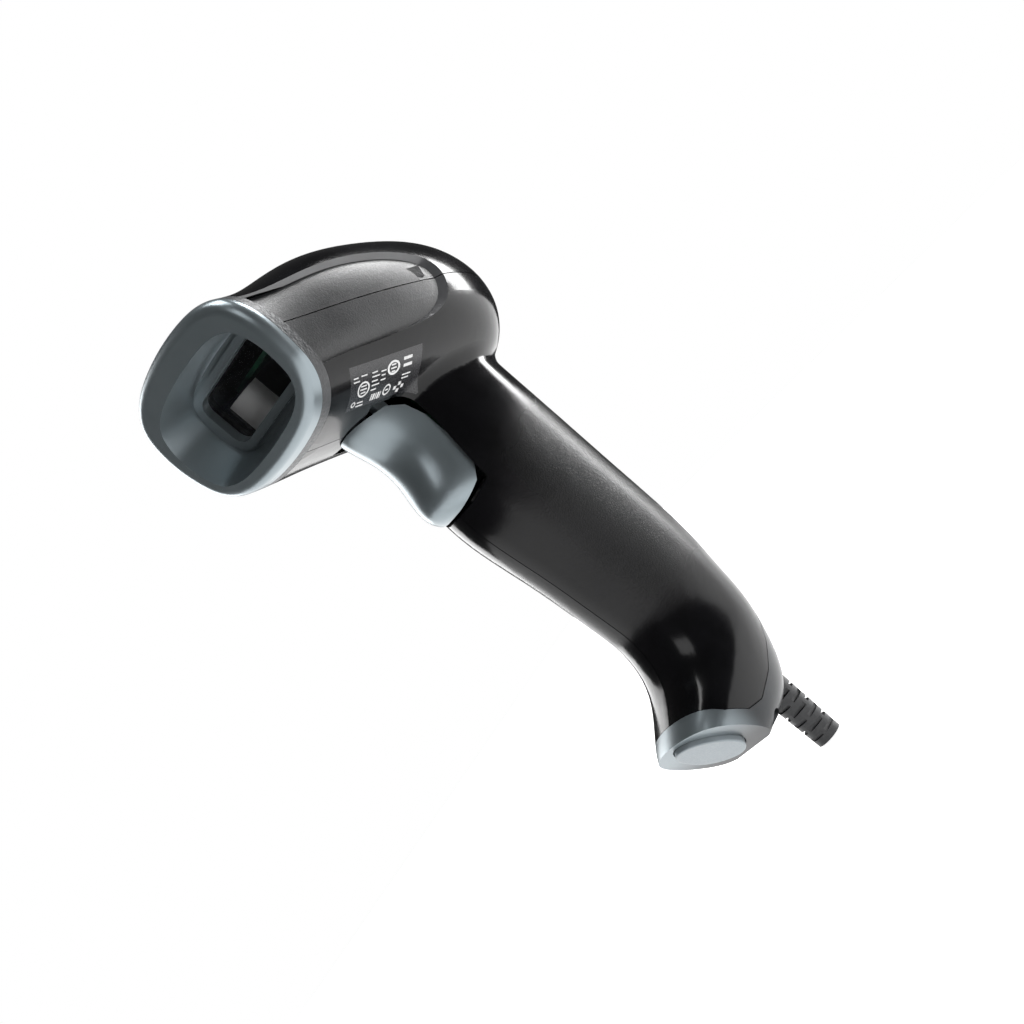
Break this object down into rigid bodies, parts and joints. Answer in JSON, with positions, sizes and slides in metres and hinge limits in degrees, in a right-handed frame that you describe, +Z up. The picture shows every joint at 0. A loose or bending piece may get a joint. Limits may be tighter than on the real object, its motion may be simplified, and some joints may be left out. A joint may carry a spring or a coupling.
{
  "type": "handheld barcode scanner",
  "caption": "Pistol-grip laser barcode scanner with a dished grey bezel, grained cheeks, grey trigger, grey butt cap and cable boot.",
  "frame": {"origin": "centre of the bounding box's bottom face, at the level of the cable boot's end", "axes": "+Z up along the grip towards the head, -Y is the scanning direction out of the window, +X is the scanner's left side"},
  "size_m": [0.059, 0.08, 0.1843],
  "materials": {
    "black_gloss": "satin gloss black housing plastic",
    "silver_grey": "satin grey paint on plastic",
    "collar_grey": "fine grained dark grey",
    "window_clear": "clear",
    "foam": "matt foam",
    "boot_rubber": "matt",
    "pad_grey": "satin grey",
    "label_film": "printed film with plain marks",
    "steel": "bright",
    "spring_steel": "drawn wire",
    "zinc": "cast",
    "brass": "turned",
    "mirror": "front coated",
    "magnet": "nickel plated",
    "copper": "enamelled wire coil",
    "board_green": "solder mask",
    "chip_black": "matt",
    "flex_amber": "polyimide film",
    "switch_black": "matt",
    "plunger_red": "matt"
  },
  "bodies": {
    "housing": {"top_cover": "black_gloss", "left_shell": "black_gloss", "right_shell": "black_gloss", "label": "label_film", "nose_collar": "collar_grey", "nose_bezel": "silver_grey", "exit_window": "window_clear", "window_gasket": "foam", "foot_pad": "pad_grey", "butt_cap": "silver_grey", "cable_boot": "boot_rubber", "trigger_pin": "steel", "trigger_spring": "spring_steel", "switch_board": "board_green", "trigger_switch": "switch_black", "engine_chassis": "zinc", "laser_barrel": "brass", "mirror_shaft": "steel", "drive_coil": "copper", "collector_mirror": "mirror", "engine_board": "board_green", "photodiode": "chip_black", "engine_screws": "steel", "main_board": "board_green", "board_chips": "chip_black", "beeper": "switch_black", "cable_socket": "switch_black", "engine_flex": "flex_amber", "shell_screws": "steel", "cap_screws": "steel"},
    "trigger": {"trigger": "silver_grey"},
    "plunger": {"switch_plunger": "plunger_red"},
    "mirror": {"scan_mirror": "mirror", "mirror_magnet": "magnet"}
  },
  "joints": [
    {"name": "trigger_pull", "type": "hinge", "parent": "housing", "child": "trigger", "pos_m": [0, -0.015, 0.141], "axis": [1, 0, 0], "range_deg": [0, 5], "stiffness_Nm_per_rad": 0.25, "springref_deg": -5.73, "deforming": ["trigger_spring"]},
    {"name": "plunger_press", "type": "slide", "parent": "housing", "child": "plunger", "axis": [0, 1, 0], "range_m": [0, 0.0021]},
    {"name": "mirror_swing", "type": "hinge", "parent": "housing", "child": "mirror", "pos_m": [0.001, -0.012, 0.1565], "axis": [0, 0, 1], "range_deg": [-8, 8], "stiffness_Nm_per_rad": 0.002}
  ],
  "couplings": [
    {"joint": "plunger_press", "follows": "trigger_pull", "m_per_rad": 0.023}
  ]
}
